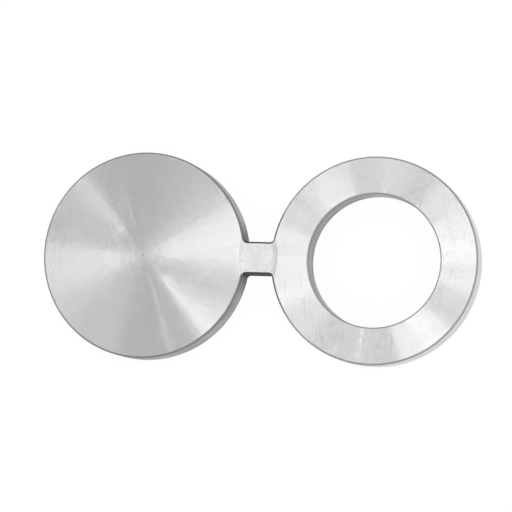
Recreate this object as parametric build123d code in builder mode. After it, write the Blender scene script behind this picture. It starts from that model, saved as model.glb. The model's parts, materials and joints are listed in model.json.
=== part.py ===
from build123d import *
import os

# A spectacle blind: a solid disc and an open ring of the same outside size, machined from one
# steel plate and joined by a short web. Either end fits between two pipe flanges, inside their
# bolts: the ring when the pipe is open, the disc when it is shut off.
#
# It lies flat on its underside. The origin is at the middle of the web on that underside, the
# disc is at -X and the ring at +X, and +Z goes up through the plate.

# Driving sizes, in millimetres.
bolt_circle = 190.0  # circle of the flange bolts that each end sits inside
bolt_hole = 22.0  # holes for those bolts
plate_thickness = 24.0
flow_diameter = 107.5  # open bore of the ring
web_width = 26.0
web_relief = 1.2  # how far the web lies below each gasket face
web_corner_radius = 3.5  # where the web's sides run into the rims
run_out_flat = 0.5  # how far the relief's floor runs into each rim, on the centre line
run_out_reach = 5.3  # how far its ramp runs into each rim, up to the gasket face
run_out_lip = 1.0  # last part of the ramp, rounded over into the gasket face
run_out_bow = 50.0  # radius of the ramp's top edge, seen from above
edge_break = 1.4  # chamfer all round the outline
flow_edge_break = 1.0  # chamfer at both ends of the bore

# Sizes that follow. An end just clears the bolts, and the two centres are one bolt circle apart,
# so the web passes between two bolts and carries the other end clear of the flanges.
disc_radius = (bolt_circle - bolt_hole) / 2
flow_radius = flow_diameter / 2
centre_x = bolt_circle / 2
rim_x = centre_x - disc_radius  # nearest point of each rim
web_top = plate_thickness - web_relief

# The ramp is hollow at its foot and round at its lip. The two arcs meet on the straight line from
# the foot to the gasket face, so they have one slope there.
foot_x = rim_x + run_out_flat
face_x = rim_x + run_out_reach
lip_x = face_x - run_out_lip
lip_z = plate_thickness - web_relief * run_out_lip / (face_x - foot_x)
bow_x = face_x - run_out_bow

# What the relief takes out of the rims: part of a wide round dish, flat at the web's level, whose
# side is the ramp. The one at the top of the ring is made first, then mirrored to the disc and to
# the underside. The dish is wider than the web, so it also takes the rims down at the corners.
with BuildPart() as run_outs:
    with BuildSketch(Plane.XZ):
        with BuildLine():
            floor = Line((bow_x, web_top), (foot_x, web_top))
            hollow = TangentArc(floor @ 1, (lip_x, lip_z), tangent=floor % 1)
            lip = TangentArc(hollow @ 1, (face_x, plate_thickness), tangent=hollow % 1)
            above = plate_thickness + web_relief
            Polyline(lip @ 1, (face_x, above), (bow_x, above), floor @ 0)
        make_face()
    revolve(axis=Axis((bow_x, 0, 0), (0, 0, 1)))
    split(bisect_by=Plane.YZ)
    mirror(about=Plane.YZ)
    mirror(about=Plane.XY.offset(plate_thickness / 2))

with BuildPart() as spectacle_blind:
    # The whole outline at full thickness, with the web's corners rounded into the rims.
    with BuildSketch() as outline:
        with Locations((-centre_x, 0), (centre_x, 0)):
            Circle(disc_radius)
        Rectangle(2 * centre_x, web_width)
        corners = outline.vertices().filter_by_position(Axis.X, -centre_x, centre_x, (False, False))
        fillet(corners, web_corner_radius)
    extrude(amount=plate_thickness)

    # The web is lowered on both faces, so that only the two ends touch the gaskets. Then every
    # edge of the outline is broken, up and down the ramps too.
    add(run_outs.part, mode=Mode.SUBTRACT)
    walls = faces().filter_by(lambda side: abs(side.normal_at().Z) < 0.001)
    chamfer(walls.edges().filter_by(Axis.Z, reverse=True), edge_break)

    # The open bore, through the middle of the ring.
    with Locations((centre_x, 0, plate_thickness)):
        Hole(flow_radius)
    bore_wall = faces().filter_by(GeomType.CYLINDER).sort_by_distance((centre_x, 0, web_top / 2))[0]
    chamfer(bore_wall.edges().filter_by(GeomType.CIRCLE), flow_edge_break)

spectacle_blind.part.label = "spectacle_blind"

os.makedirs("parts", exist_ok=True)
export_step(spectacle_blind.part, "parts/spectacle_blind.step")

solid = spectacle_blind.part
print("solids", len(solid.solids()), "faces", len(solid.faces()), "volume", round(solid.volume, 1))
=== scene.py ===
# %% [markdown]
# # A spectacle blind in turned steel
#
# A spectacle blind shuts off a pipe. It is cut from one steel plate: a solid disc and an open ring
# on a short web, each faced on a lathe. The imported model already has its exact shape, with the
# chamfers, the rounded corners and the lowered web, so no shape is modelled again here. What is
# left is how it looks: the lathe's marks, the duller edges, and the light that the marks catch.

# %% Load the model and keep its box
import json
from math import cos, pi, radians, sin

import bmesh
import bpy
from mathutils import Matrix, Vector


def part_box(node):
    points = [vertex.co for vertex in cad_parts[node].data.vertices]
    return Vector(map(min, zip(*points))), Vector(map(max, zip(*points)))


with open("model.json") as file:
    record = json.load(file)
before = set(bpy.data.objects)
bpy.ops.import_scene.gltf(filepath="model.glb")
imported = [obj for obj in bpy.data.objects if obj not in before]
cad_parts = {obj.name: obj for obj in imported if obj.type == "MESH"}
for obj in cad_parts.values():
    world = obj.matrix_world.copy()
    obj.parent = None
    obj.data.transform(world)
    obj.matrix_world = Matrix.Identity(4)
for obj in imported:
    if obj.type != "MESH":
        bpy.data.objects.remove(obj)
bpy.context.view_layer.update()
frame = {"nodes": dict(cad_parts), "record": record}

# %% [markdown]
# ## Sizes from the model
#
# The finish follows the shape, so its sizes are read from the model and not typed again. The
# record's mounts say where the open bore is, and the blind's own box gives the rest. The lowered
# web has no name in the model, so its level is that of the highest points between the two ends.

# %% Read the sizes that the finish needs
blind = frame["nodes"]["spectacle_blind"]
lowest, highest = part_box("spectacle_blind")
plate_top = highest.z
plate_middle = (lowest.z + highest.z) / 2
half_thickness = plate_top - plate_middle
disc_radius = (highest.y - lowest.y) / 2
bore = next(m for m in frame["record"]["mounts"] if m["name"] == "flow_bore")
centre_x = bore["pos_m"][0]
bore_radius = bore["dims"]["r_mm"] / 1000
print("disc radius", round(disc_radius, 4), "centres at x", centre_x, "bore radius", bore_radius)

points = [blind.matrix_world @ point.co for point in blind.data.vertices]
web_level = max(point.z for point in points if abs(point.x) < centre_x - disc_radius)
print("web lies", round((plate_top - web_level) * 1000, 2), "mm below the faces")

# %% [markdown]
# ## The camera
#
# The blind lies flat and is looked down on, a little from its right and from its front edge. A long
# lens far away keeps both ends nearly the same size. The camera could be turned by a tracking
# constraint, but one straight above the work has no sure upright, so its three axes are worked
# out here: backwards, then upwards in the picture, then to the right, and a small roll.

# %% Stand the camera over the blind
camera_azimuth = radians(66.22)
camera_elevation = radians(76.69)
camera_roll = radians(2.57)
camera_distance = 2.4096
image_width = 512
focal_length_pixels = 2991.5
sensor_width = 36.0
picture_shift = (-0.0029, 0.0032)
farthest_seen = 20

target = Vector((0, 0, plate_top))
towards_front = Vector((0, -1, 0))
raised = Matrix.Rotation(-camera_elevation, 3, "X") @ towards_front
backwards = Matrix.Rotation(camera_azimuth, 3, "Z") @ raised
upwards = (Vector((0, 1, 0)) - backwards * backwards.y).normalized()
rightwards = upwards.cross(backwards)
unrolled = Matrix((rightwards, upwards, backwards)).transposed()
axes = unrolled @ Matrix.Rotation(camera_roll, 3, "Z")

camera = bpy.data.objects.new("camera", bpy.data.cameras.new("camera"))
camera.data.sensor_width = sensor_width
camera.data.lens = focal_length_pixels / image_width * sensor_width
camera.data.shift_x, camera.data.shift_y = picture_shift
camera.data.clip_end = farthest_seen
camera.matrix_world = Matrix.Translation(target + backwards * camera_distance) @ axes.to_4x4()
bpy.context.scene.collection.objects.link(camera)
bpy.context.scene.camera = camera
bpy.context.scene.view_settings.view_transform = "Standard"
print("camera at", tuple(round(c, 3) for c in camera.location))
print("lens", round(camera.data.lens, 1), "mm")

# %% [markdown]
# ## Shader maths as expressions
#
# A material is a sum: this much of that, where the surface faces up, and so on. Placed by hand each
# plus and times is a node with two links. A wire that knows how to add and multiply itself lets the
# same thing be written as an expression, and the nodes follow from it.

# %% A wire that can be added and multiplied
class Wire:
    """A value on its way through a material. Arithmetic on wires adds the Math nodes for it."""

    def __init__(self, tree, socket=None):
        self.tree = tree
        self.socket = socket

    def node(self, kind, settings=None, sockets=None, output=0):
        """Adds any node, sets it up, fills its sockets, and gives the wire that leaves it."""
        made = self.tree.nodes.new(kind)
        for name, value in (settings or {}).items():
            setattr(made, name, value)
        for name, value in (sockets or {}).items():
            if isinstance(value, Wire):
                self.tree.links.new(value.socket, made.inputs[name])
            else:
                made.inputs[name].default_value = value
        return Wire(self.tree, made.outputs[output] if made.outputs else None)

    def maths(self, operation, first, second=0.0):
        return self.node("ShaderNodeMath", {"operation": operation}, {0: first, 1: second})

    def __add__(self, other):
        return self.maths("ADD", self, other)

    def __sub__(self, other):
        return self.maths("SUBTRACT", self, other)

    def __rsub__(self, other):
        return self.maths("SUBTRACT", other, self)

    def __mul__(self, other):
        return self.maths("MULTIPLY", self, other)

    def __truediv__(self, other):
        return self.maths("DIVIDE", self, other)

    def __rtruediv__(self, other):
        return self.maths("DIVIDE", other, self)

    def __gt__(self, other):
        return self.maths("GREATER_THAN", self, other)

    def __lt__(self, other):
        return self.maths("LESS_THAN", self, other)

    def __abs__(self):
        return self.maths("ABSOLUTE", self)

    __radd__ = __add__
    __rmul__ = __mul__

    def ease(self, low, high):
        """Goes smoothly from 0 at low to 1 at high."""
        sockets = {"Value": self, "From Min": low, "From Max": high}
        return self.node("ShaderNodeMapRange", {"interpolation_type": "SMOOTHSTEP"}, sockets)

    def step(self, middle, width):
        """Goes from 0 to 1 about the middle, most of the way within one width to either side."""
        return self.maths("TANH", (self - middle) / width) * 0.5 + 0.5

    def vector(self, operation, second=None, output="Vector"):
        """Vector Math on this wire. The second value is a vector, or a number for a scale."""
        sockets = {0: self}
        if second is not None:
            sockets["Scale" if operation == "SCALE" else 1] = second
        return self.node("ShaderNodeVectorMath", {"operation": operation}, sockets, output)

    def parts(self):
        """The x, y and z of a vector, each on a wire of its own."""
        split = self.node("ShaderNodeSeparateXYZ", {}, {0: self}).socket.node
        return [Wire(self.tree, part) for part in split.outputs]


def first_wire(owner):
    """Empties the nodes of a material or a world, and gives a wire to build new ones from."""
    owner.use_nodes = True
    owner.node_tree.nodes.clear()
    return Wire(owner.node_tree)


print("a wire knows + - * / > < and abs")

# %% [markdown]
# ## The floor
#
# A studio photograph of a loose part shows it on white, with hardly a shadow. A curved backdrop
# would be needed for a view along the floor, but from above one wide flat sheet is enough. It lies
# just under the blind, so that the two surfaces never fight for the same height.

# %% Lay a wide floor
floor_reach = 5.0
floor_gap = 0.0001

floor_mesh = bpy.data.meshes.new("floor")
floor_shape = bmesh.new()
bmesh.ops.create_grid(floor_shape, x_segments=1, y_segments=1, size=floor_reach)
floor_shape.to_mesh(floor_mesh)
floor_shape.free()
floor = bpy.data.objects.new("floor", floor_mesh)
floor.location.z = lowest.z - floor_gap
bpy.context.scene.collection.objects.link(floor)
print("floor", 2 * floor_reach, "m wide at z", round(floor.location.z, 5))

# %% [markdown]
# Brighter lamps would make the floor white, but would wash out the steel too. So most of the
# floor's white is its own, seen by the camera and by whatever mirrors it, and only the rest is lit.
# The shadow stays, but is faint.

# %% Paint the floor
own_share = 0.9
own_strength = 1.04
paint_colour = (0.9, 0.9, 0.9, 1)
white = (1, 1, 1, 1)

paint = bpy.data.materials.new("pale_floor")
start = first_wire(paint)
ray_kinds = ("Is Camera Ray", "Is Glossy Ray", "Is Transmission Ray")
seen = sum(start.node("ShaderNodeLightPath", output=kind) for kind in ray_kinds)
lit = start.node("ShaderNodeBsdfDiffuse", {}, {"Color": paint_colour})
glowing = start.node("ShaderNodeEmission", {}, {"Color": white, "Strength": own_strength})
shown = start.node("ShaderNodeMixShader", {}, {0: seen * own_share, 1: lit, 2: glowing})
start.node("ShaderNodeOutputMaterial", {}, {"Surface": shown})
floor_mesh.materials.append(paint)
print(round(own_share * 100), "percent of the floor's look is its own light")

# %% [markdown]
# ## The lamps
#
# A turned face has hundreds of fine rings, so each small patch of it mirrors the room along a line
# through the disc's centre. A lamp therefore shows as a streak that runs from the centre towards
# the lamp's own mirror image in the plate. That makes lamps easy to place: choose where the mirror
# image should lie on the table, and hang the lamp where a ray from the camera goes after it
# bounces there. Wide lamps make the broad light sectors, and narrow ones make the streaks.
#
# Two flat lamps in exactly the same plane hide parts of each other, so each hangs a little higher
# than the one before. A lamp's energy is its area times pi times its brightness, where a brightness
# of 1 is that of a white wall.

# %% Hang flat lamps by their mirror images
lowest_lamp = 1.5
lamp_step = 0.01
hung = []


def hang_lamp(name, image_at, size, turn, brightness):
    """image_at and size are the mirror image's, in the plane of the top face. turn is in degrees."""
    lamp_height = lowest_lamp + lamp_step * len(hung)
    rise = lamp_height / (camera.location.z - plate_top)
    width, depth = (side * (1 + rise) for side in size)
    x, y = (m + (m - c) * rise for m, c in zip(image_at, camera.location))
    lamp = bpy.data.objects.new(name, bpy.data.lights.new(name, "AREA"))
    lamp.data.shape = "RECTANGLE"
    lamp.data.size = width
    lamp.data.size_y = depth
    lamp.data.energy = brightness * pi * width * depth
    lamp.location = (x, y, plate_top + lamp_height)
    lamp.rotation_euler.z = radians(turn)
    bpy.context.scene.collection.objects.link(lamp)
    hung.append(lamp)
    print(name, "at", tuple(round(c, 2) for c in lamp.location), "energy", round(lamp.data.energy, 2))


hang_lamp("right_lamp", (0.31, 0.05), (0.34, 0.47), -48, 1.43)
hang_lamp("front_lamp", (0.313, -0.315), (0.26, 0.22), 11, 0.85)
hang_lamp("long_lamp", (-0.239, -0.438), (0.02, 0.36), -78, 1.9)
hang_lamp("left_front_lamp", (-0.345, -0.38), (0.15, 0.465), 24, 0.9)
hang_lamp("left_lamp", (-0.305, -0.088), (0.177, 0.225), -2, 1.77)
hang_lamp("left_back_lamp", (-0.175, 0.065), (0.045, 0.205), 56, 2.6)
hang_lamp("front_spot", (0.305, -0.306), (0.215, 0.075), 30, 3.4)
hang_lamp("back_spot", (-0.31, 0.225), (0.045, 0.3), 46, 0.9)
hang_lamp("strip_lamp", (0.038, -0.396), (0.006, 0.08), 0, 11)

# %% [markdown]
# ## The studio's own soft light
#
# Between the lamps the steel mirrors the room. Most of a pale studio is close to one even tone.
# Only the ceiling that the camera sees mirrored in the plate has a band across it: from dim on the
# left it brightens slowly to just left of straight up, falls sharply to its darkest just right of
# it, and brightens again to the right. The band gives the faces their wide soft sectors. It could
# go all round, but then the steel would look too dark or too light from elsewhere, so it stays in a
# round patch, about the way that the camera's line of sight goes after it bounces off the plate.

# %% The band across the ceiling
band_turn = -0.02
band_left = 0.12
slow_rise = 2.27
rise_at, rise_width = -0.044, 0.3
sharp_fall = 1.5
fall_at, fall_width = -0.029, 0.062
more_at_the_back = 0.75

world = bpy.data.worlds.new("studio")
bpy.context.scene.world = world
start = first_wire(world)
looking = start.node("ShaderNodeTexCoord", output="Generated")
sideways, forwards, skywards = looking.parts()
across = sideways * cos(band_turn) + forwards * sin(band_turn)
band = (
    band_left
    + across.step(rise_at, rise_width) * slow_rise
    - across.step(fall_at, fall_width) * sharp_fall
)
band = band * (1 + forwards * more_at_the_back)
print("band from", band_left, "at the far left to", round(band_left + slow_rise - sharp_fall, 2))

# %% [markdown]
# The even tone fills the rest. Low on the right stands one brighter wall, for the chamfers and rims
# that face it.

# %% The even light and the bright wall
even_light = 0.9
band_patch_edge, band_patch_full = 0.72, 0.86
wall_light = 1.35
wall_side, wall_forwards = 0.91, -0.41
wall_edge_at, wall_full_at = 0.3, 0.8
wall_height = 0.2

bounce = Vector((-backwards.x, -backwards.y, backwards.z))
in_patch = looking.vector("DOT_PRODUCT", bounce, "Value").ease(band_patch_edge, band_patch_full)
room = even_light + (band - even_light) * in_patch
towards_wall = sideways * wall_side + forwards * wall_forwards
on_wall = towards_wall.ease(wall_edge_at, wall_full_at) * (skywards < wall_height)
strength = room + (wall_light - room) * on_wall
sky = start.node("ShaderNodeBackground", {}, {"Color": white, "Strength": strength})
start.node("ShaderNodeOutputWorld", {}, {"Surface": sky})
print("even light", even_light, "and", wall_light, "on the bright wall")

# %% [markdown]
# ## Turned steel: where on the blind are we?
#
# The blind is one solid with one material, but its surfaces were not all made in the same way. The
# material therefore first works out where it is: how far from the centre of its own end, and which
# way is outwards from there. The disc's centre is at minus x and the ring's at plus x.

# %% Distance and direction from the nearer centre
steel = bpy.data.materials.new("turned_steel")
start = first_wire(steel)

place = start.node("ShaderNodeTexCoord", output="Object")
x, y, z = place.parts()
on_ring = x > 0
on_disc = 1 - on_ring
nearer_centre = (on_ring - on_disc) * centre_x
from_centre = start.node("ShaderNodeCombineXYZ", {}, {"X": x - nearer_centre, "Y": y})
radius = from_centre.vector("LENGTH", output="Value")
outwards = from_centre.vector("NORMALIZE")
facing_up = abs(start.node("ShaderNodeNewGeometry", output="Normal").parts()[2])
print("nodes so far", len(steel.node_tree.nodes))

# %% [markdown]
# Each kind of surface has its own finish. They could be given materials face by face, but which way
# a surface faces and where it lies already tell them apart: the turned faces, the chamfers, the web
# with its ramps, and the walls. Each mask is 1 on its own kind and 0 elsewhere.

# %% Masks for each kind of surface
wall_below = 0.4
chamfer_below = 0.8
level_above = 0.95
height_margin = 0.0001
past_rim_margin = 1.003
bore_margin = 1.01
bore_chamfer_margin = 1.03

from_middle = abs(z - plate_middle)
outermost = from_middle > half_thickness - height_margin
on_web_level = from_middle < web_level - plate_middle + height_margin
past_the_rims = radius > disc_radius * past_rim_margin

wall = facing_up < wall_below
web_wall = wall * past_the_rims
bore_wall = wall * (radius < bore_radius * bore_margin)
disc_rim = (wall - web_wall) * on_disc
ring_rim = (wall - web_wall - bore_wall) * on_ring

chamfer = (facing_up > wall_below) * (facing_up < chamfer_below)
web_chamfer = chamfer * past_the_rims
bore_chamfer = chamfer * (radius < bore_radius * bore_chamfer_margin)
rim_chamfer = chamfer - web_chamfer - bore_chamfer

face = outermost * (facing_up > level_above)
lowered = (1 - outermost) * (facing_up > chamfer_below)
web_top = lowered * on_web_level
ramp = lowered * (1 - on_web_level)
print("nodes with the masks", len(steel.node_tree.nodes))

# %% [markdown]
# ## Handling marks
#
# Bare steel that has been carried and stacked is never even. It has broad smudges, a fine grain, a
# few patches of short scuffs, and on each face some rings that the tool cut deeper. On the rims the
# cut leaves long streaks that run round. All of these are noise: squeezed in one direction it turns
# into lines along the other, and where only its highest parts are kept it turns into a few marks.
# A painted picture could show them too, but noise needs no picture and stays fine from close by.

# %% Noise for the marks
scuff_squeeze = (1200, 70, 1)
scuff_faint, scuff_full = 0.55, 0.72
patch_faint, patch_full = 0.52, 0.62
streak_squeeze = (35, 35, 260)


def noise(where, scale, detail, harshness=0.5):
    """Soft noise about one half. The scale is roughly its number of blots to the metre."""
    sockets = {"Vector": where, "Scale": scale, "Detail": detail, "Roughness": harshness}
    return start.node("ShaderNodeTexNoise", {}, sockets)


smudge = noise(place, scale=60, detail=4, harshness=0.6) - 0.5
grain = noise(place, scale=450, detail=3, harshness=0.7) - 0.5
scuff_lines = noise(place.vector("MULTIPLY", scuff_squeeze), scale=1, detail=2)
scuff_patches = noise(place, scale=22, detail=1)
scuffs = scuff_lines.ease(scuff_faint, scuff_full) * scuff_patches.ease(patch_faint, patch_full)
squeezed = place.vector("MULTIPLY", streak_squeeze)
wall_streaks = noise(squeezed, scale=1, detail=4, harshness=0.7) - 0.5

line_noise = {"W": radius, "Scale": 900, "Detail": 2}
ring_lines = start.node("ShaderNodeTexNoise", {"noise_dimensions": "1D"}, line_noise) - 0.5
print("nodes with the marks", len(steel.node_tree.nodes))

# %% [markdown]
# ## The lean of the rings
#
# A round-nosed tool crosses each face while the plate spins, and leaves fine rings with scooped
# bottoms. They could be modelled, but there would be hundreds of them on each face. A bump texture
# could draw them, but they are finer than a pixel, and bump compares heights a pixel apart. So the
# slope of the rings is worked out directly: it goes evenly from one lean to the other across each
# ring, and leans the surface's normal towards or away from the disc's centre. The walls' rings lean
# up and down in the same way.
#
# A real edge is never perfectly sharp and catches a little light. The Bevel node rounds the edges
# in the shading alone, so the shape stays as it was imported. A trace of speckle breaks up the
# mirror images.

# %% Lean the normal to and fro across each ring
ring_pitch = 0.00025
ring_lean = 0.242
wall_pitch = 0.0004
wall_lean = 0.2
edge_rounding = 0.0006
speckle_amount = 0.01
speckle_noise = {"Vector": place, "Scale": 500, "Detail": 1}

across_ring = start.maths("FRACT", radius / ring_pitch) * 2 - 1
across_wall_ring = start.maths("FRACT", z / wall_pitch) * 2 - 1
leant_outwards = outwards.vector("SCALE", across_ring * ring_lean * face)
leant_upwards = start.node("ShaderNodeCombineXYZ", {}, {"Z": across_wall_ring * wall_lean * wall})
random_slopes = start.node("ShaderNodeTexNoise", {}, speckle_noise, "Color")
speckle = random_slopes.vector("SUBTRACT", (0.5, 0.5, 0.5)).vector("SCALE", face * speckle_amount)

rounded = start.node("ShaderNodeBevel", {"samples": 8}, {"Radius": edge_rounding})
leant = rounded.vector("ADD", leant_outwards.vector("ADD", leant_upwards))
normal = leant.vector("ADD", speckle).vector("NORMALIZE")
print("rings", round(disc_radius / ring_pitch), "on each face")

# %% [markdown]
# ## Places cut differently, and painted shade and highlight
#
# The tool slows down towards the centre, so the steel is duller there. The dark dot in the very
# middle is painted shade, for a dimple that the shape doesn't have. The last ring before the chamfer
# has a painted highlight: its tone is a little brighter. The walls are rougher towards both edges,
# and next to the web, where the lathe can't reach and a file was used instead. Their tone is also
# darker there: painted shade, at the foot the contact shadow that the wall mirrors, and next to the
# web the shade between the disc, the web and the ring. Such places could be painted by hand, but
# distances from the centre, the edges and the web find them exactly.

# %% Find those places
dull_centre_radius = 0.028
painted_dimple_shade_radius = 0.0007
painted_rim_highlight_width = 0.0022
web_reach_x = 0.03
web_reach_y = 0.032
wall_end_from, wall_end_full = 0.0085, 0.0106

near_centre = start.maths("MAXIMUM", 1 - radius / dull_centre_radius, 0)
# Painted shade: a dark dot in the middle stands for a dimple that the shape doesn't have.
painted_dimple_shade = radius < painted_dimple_shade_radius
# Painted highlight: a band on the face just inside the chamfer, made a little brighter.
painted_rim_highlight = radius > disc_radius - painted_rim_highlight_width
wall_end = from_middle.ease(wall_end_from, wall_end_full)
near_web = start.maths("MAXIMUM", 1 - abs(y) / web_reach_y, 0) * (abs(x) < web_reach_x)
print("dull centre", round(dull_centre_radius / disc_radius * 100), "percent of the radius")

# %% [markdown]
# ## Tone and gloss
#
# Steel has one colour, but how much of it mirrors depends on how it was cut. Turned faces are bright
# and smooth, chamfers and walls are darker and rougher, and the web was ground matt. The ring's rim
# is finished brighter than the disc's. A dozen materials could do it, but one table is easier to
# compare. Each kind of surface is one row: where it is, how light it is, and how rough. A mask is
# nought outside its own surface, so the rows can simply be added up.

# %% One row for each kind of surface
streak_depth = 2.4
ring_streak_depth = 0.8
painted_shade_depth = 0.7

# The face's tone carries a painted highlight on the last ring and painted shade in the very middle.
face_tone = 0.61 + painted_rim_highlight * 0.03 - painted_dimple_shade * 0.25
face_roughness = 0.08 + near_centre * 0.28
# Painted shade: the walls' tone is darkened towards both edges and next to the web.
wall_painted_shade_factor = (1 - wall_end * painted_shade_depth) * (1 - near_web * painted_shade_depth)
wall_tone = 0.3 * (1 + wall_streaks * streak_depth) * wall_painted_shade_factor
wall_roughness = 0.4 + wall_end * 0.4 + near_web * 0.5
ring_rim_tone = 0.62 * (1 + wall_streaks * ring_streak_depth)

surfaces = (
    # where, tone, roughness
    (face, face_tone, face_roughness),
    (rim_chamfer * on_disc, 0.25, 0.3),
    (rim_chamfer * on_ring, 0.33, 0.3),
    (bore_chamfer, 0.42, 0.3),
    (web_chamfer, 0.1, 0.6),
    (disc_rim, wall_tone, wall_roughness),
    (bore_wall, wall_tone, wall_roughness),
    (ring_rim, ring_rim_tone, 0.3),
    (web_wall, 0.11, 0.9),
    (web_top, 0.89, 0.6),
    (ramp * on_disc, 0.88, 1.0),
    # Painted shade: the ring-side ramp has the same finish as the disc-side one, but a darker tone.
    (ramp * on_ring, 0.81, 1.0),
)
clean_tone = sum(where * tone for where, tone, rough in surfaces)
clean_roughness = sum(where * rough for where, tone, rough in surfaces)
print("kinds of surface", len(surfaces))

# %% [markdown]
# The marks then darken and lighten the tones by a share of themselves, more so on the matt web than
# on the bright faces. The ramps are rough enough to scatter light instead of mirroring it, so they
# count as only part metal.

# %% Add the marks and give the steel to the blind
matt = web_top + ramp
smudge_depth = 0.06 + matt * 0.2
grain_depth = 0.2 + matt * 0.3
ring_line_depth = 0.06 + near_centre * 0.16
scuff_depth = 0.16
smudge_roughness = 0.03
ramp_scatter = 0.7

marks = (
    smudge * smudge_depth
    + grain * grain_depth
    + ring_lines * face * ring_line_depth
    - scuffs * face * scuff_depth
)
finish = {
    "Base Color": clean_tone * (1 + marks),
    "Metallic": 1 - ramp * ramp_scatter,
    "Roughness": clean_roughness + smudge * smudge_roughness,
    "Normal": normal,
}
shine = start.node("ShaderNodeBsdfPrincipled", {}, finish)
start.node("ShaderNodeOutputMaterial", {}, {"Surface": shine})
for slot in blind.material_slots:
    slot.material = steel
print("nodes in the steel", len(steel.node_tree.nodes))
